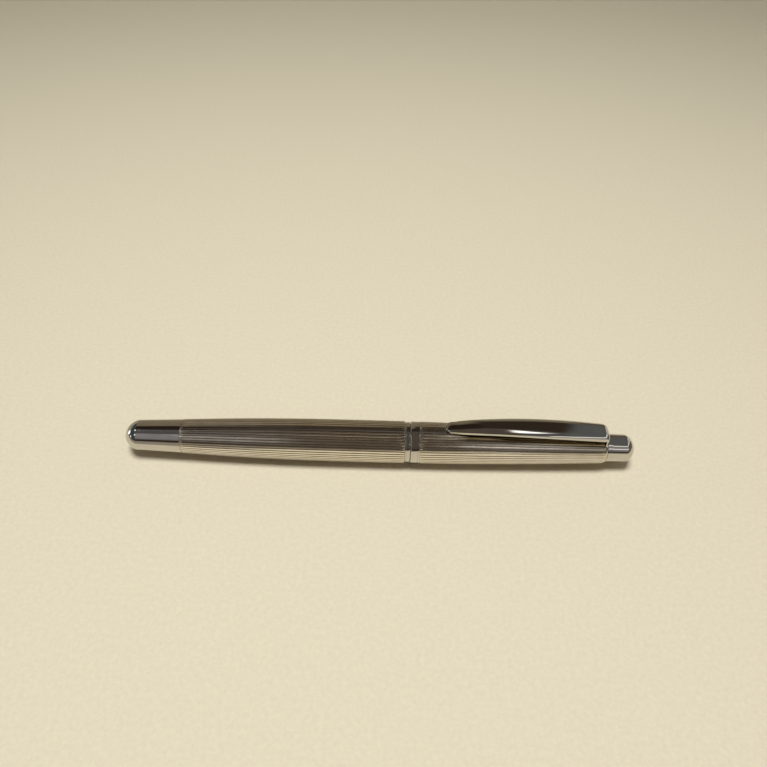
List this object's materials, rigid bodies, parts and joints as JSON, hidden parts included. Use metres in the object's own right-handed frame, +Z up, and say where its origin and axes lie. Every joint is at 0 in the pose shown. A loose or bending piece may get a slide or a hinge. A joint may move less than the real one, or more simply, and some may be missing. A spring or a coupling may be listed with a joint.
{
  "type": "fountain pen",
  "caption": "Slim fluted metal fountain pen with polished domed ends, a bowed sprung clip, a slip cap, a screw-in nib section and a piston converter inside.",
  "frame": {"origin": "on the pen's axis, at the middle of the plain round stretch of the barrel that a pen loop grips", "axes": "+X along the pen towards the cap's finial, +Z up through the middle of the clip, +Y sideways"},
  "size_m": [0.1393, 0.0116, 0.0139],
  "materials": {
    "fluted_silver": "bright silver plate, finely fluted lengthwise",
    "polished_metal": "mirror polished",
    "brass_fitting": "turned",
    "grip_plastic": "gloss black",
    "feed_plastic": "satin black",
    "nib_steel": "polished, with a brushed face",
    "tipping": "ground and polished",
    "clear_plastic": "clear",
    "liner_plastic": "moulded",
    "piston_plastic": "moulded, natural white",
    "seal_rubber": "smooth"
  },
  "bodies": {
    "barrel": {"barrel_tube": "fluted_silver", "barrel_liner": "brass_fitting", "barrel_mouth_ring": "polished_metal", "barrel_end": "polished_metal", "barrel_end_stud": "brass_fitting"},
    "seal_ring": {"section_o_ring": "seal_rubber"},
    "clutch_ring": {"section_clutch_ring": "polished_metal"},
    "section": {"section_thread": "brass_fitting", "section_grip": "grip_plastic", "section_front_ring": "polished_metal", "nib_housing": "feed_plastic", "feed": "feed_plastic", "nib": "nib_steel", "nib_tip": "tipping"},
    "converter": {"converter_tube": "clear_plastic", "converter_mouth_collar": "grip_plastic", "converter_ferrule": "polished_metal", "converter_guide": "liner_plastic"},
    "knob": {"converter_knob": "grip_plastic"},
    "piston": {"piston_rod": "piston_plastic", "piston_seal": "seal_rubber"},
    "cap_inner": {"cap_liner": "liner_plastic"},
    "cap": {"cap_tube": "fluted_silver", "cap_lip_ring": "polished_metal", "cap_clutch_sleeve": "brass_fitting", "cap_screw": "brass_fitting", "cap_finial": "polished_metal", "clip_root": "polished_metal"},
    "clip": {"clip_blade": "polished_metal", "clip_foot": "polished_metal"}
  },
  "joints": [
    {"name": "section_pull", "type": "slide", "parent": "barrel", "child": "seal_ring", "axis": [1, 0, 0], "range_m": [0, 0.06]},
    {"name": "section_travel", "type": "slide", "parent": "seal_ring", "child": "clutch_ring", "axis": [1, 0, 0], "range_m": [0, 0.0048]},
    {"name": "section_unscrew", "type": "hinge", "parent": "clutch_ring", "child": "section", "pos_m": [0, 0, 0], "axis": [1, 0, 0], "range_deg": [0, 2161]},
    {"name": "cap_pull", "type": "slide", "parent": "section", "child": "cap_inner", "axis": [1, 0, 0], "range_m": [0, 0.06]},
    {"name": "cap_turn", "type": "hinge", "parent": "cap_inner", "child": "cap", "pos_m": [0, 0, 0], "axis": [1, 0, 0], "continuous": true},
    {"name": "clip_flex", "type": "hinge", "parent": "cap", "child": "clip", "pos_m": [0.06315, 0, 0.004], "axis": [0, 1, 0], "range_deg": [0, 4], "stiffness_Nm_per_rad": 1, "springref_deg": -1.15},
    {"name": "converter_pull", "type": "slide", "parent": "section", "child": "converter", "axis": [-1, 0, 0], "range_m": [0, 0.006]},
    {"name": "knob_turn", "type": "hinge", "parent": "converter", "child": "knob", "pos_m": [0, 0, 0], "axis": [1, 0, 0], "range_deg": [0, 2881]},
    {"name": "piston_travel", "type": "slide", "parent": "converter", "child": "piston", "axis": [-1, 0, 0], "range_m": [0, 0.016]}
  ],
  "couplings": [
    {"joint": "section_unscrew", "follows": "section_travel", "rad_per_m": 7854},
    {"joint": "knob_turn", "follows": "piston_travel", "rad_per_m": 3141.6}
  ]
}
